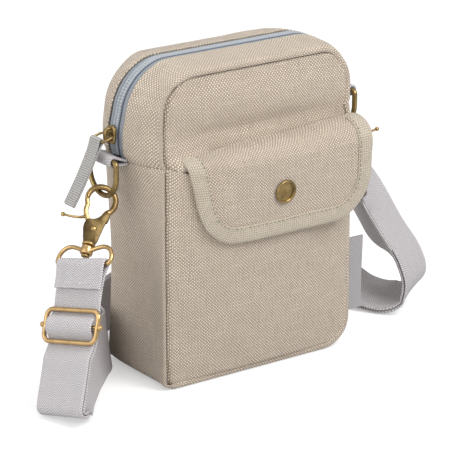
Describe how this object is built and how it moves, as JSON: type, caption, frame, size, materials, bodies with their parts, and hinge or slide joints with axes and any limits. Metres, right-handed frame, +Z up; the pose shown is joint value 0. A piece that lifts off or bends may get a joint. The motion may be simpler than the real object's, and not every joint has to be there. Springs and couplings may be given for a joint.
{
  "type": "crossbody bag",
  "caption": "Boxy linen crossbody bag with a zipped top, a bound flap pocket closed by a snap, and a wide webbing shoulder strap on swivel clasps.",
  "frame": {"origin": "under the middle of the bag's body, on the surface it stands on", "axes": "+X to the right seen from the front, front faces -Y, +Z up"},
  "size_m": [0.327, 0.1558, 0.208],
  "materials": {
    "linen": "natural coarse linen canvas, plain weave",
    "binding_linen": "natural linen cut on the bias, stitched",
    "webbing": "pale grey woven webbing and ribbed tape",
    "zip_tape": "grey-blue woven zip tape",
    "zip_coil": "grey-blue moulded coil",
    "label_tape": "grey woven tape, bare",
    "antique_brass": "antique brass, satin with dark recesses"
  },
  "bodies": {
    "bag": {"front_panel": "linen", "pocket_panel": "linen", "pocket_flap": "linen", "flap_binding": "binding_linen", "snap_cap": "antique_brass", "back_panel": "linen", "side_gusset": "linen", "zip_gusset_front": "linen", "zip_gusset_back": "linen", "zip_tape_front": "zip_tape", "zip_tape_back": "zip_tape", "zip_coil": "zip_coil", "zip_slider": "antique_brass", "zip_pull_ring": "antique_brass", "zip_pull_tape": "webbing", "side_label": "label_tape", "ring_tab_left": "webbing", "ring_tab_right": "webbing", "d_ring_left": "antique_brass", "d_ring_right": "antique_brass", "clasp_hook_left": "antique_brass", "clasp_hook_right": "antique_brass", "clasp_swivel_left": "antique_brass", "clasp_swivel_right": "antique_brass", "shoulder_strap": "webbing", "strap_buckle": "antique_brass"},
    "lever_left": {"clasp_lever_left": "antique_brass"},
    "lever_right": {"clasp_lever_right": "antique_brass"}
  },
  "joints": [
    {"name": "lever_left_pivot", "type": "hinge", "parent": "bag", "child": "lever_left", "pos_m": [-0.10634, -0.00485, 0.10626], "axis": [0.242, 0.7811, -0.5755], "range_deg": [0, 24], "stiffness_Nm_per_rad": 0.03, "springref_deg": -8.59},
    {"name": "lever_right_pivot", "type": "hinge", "parent": "bag", "child": "lever_right", "pos_m": [0.10357, 0.00523, 0.12106], "axis": [-0.2888, -0.8659, -0.4083], "range_deg": [0, 24], "stiffness_Nm_per_rad": 0.03, "springref_deg": -8.59}
  ]
}
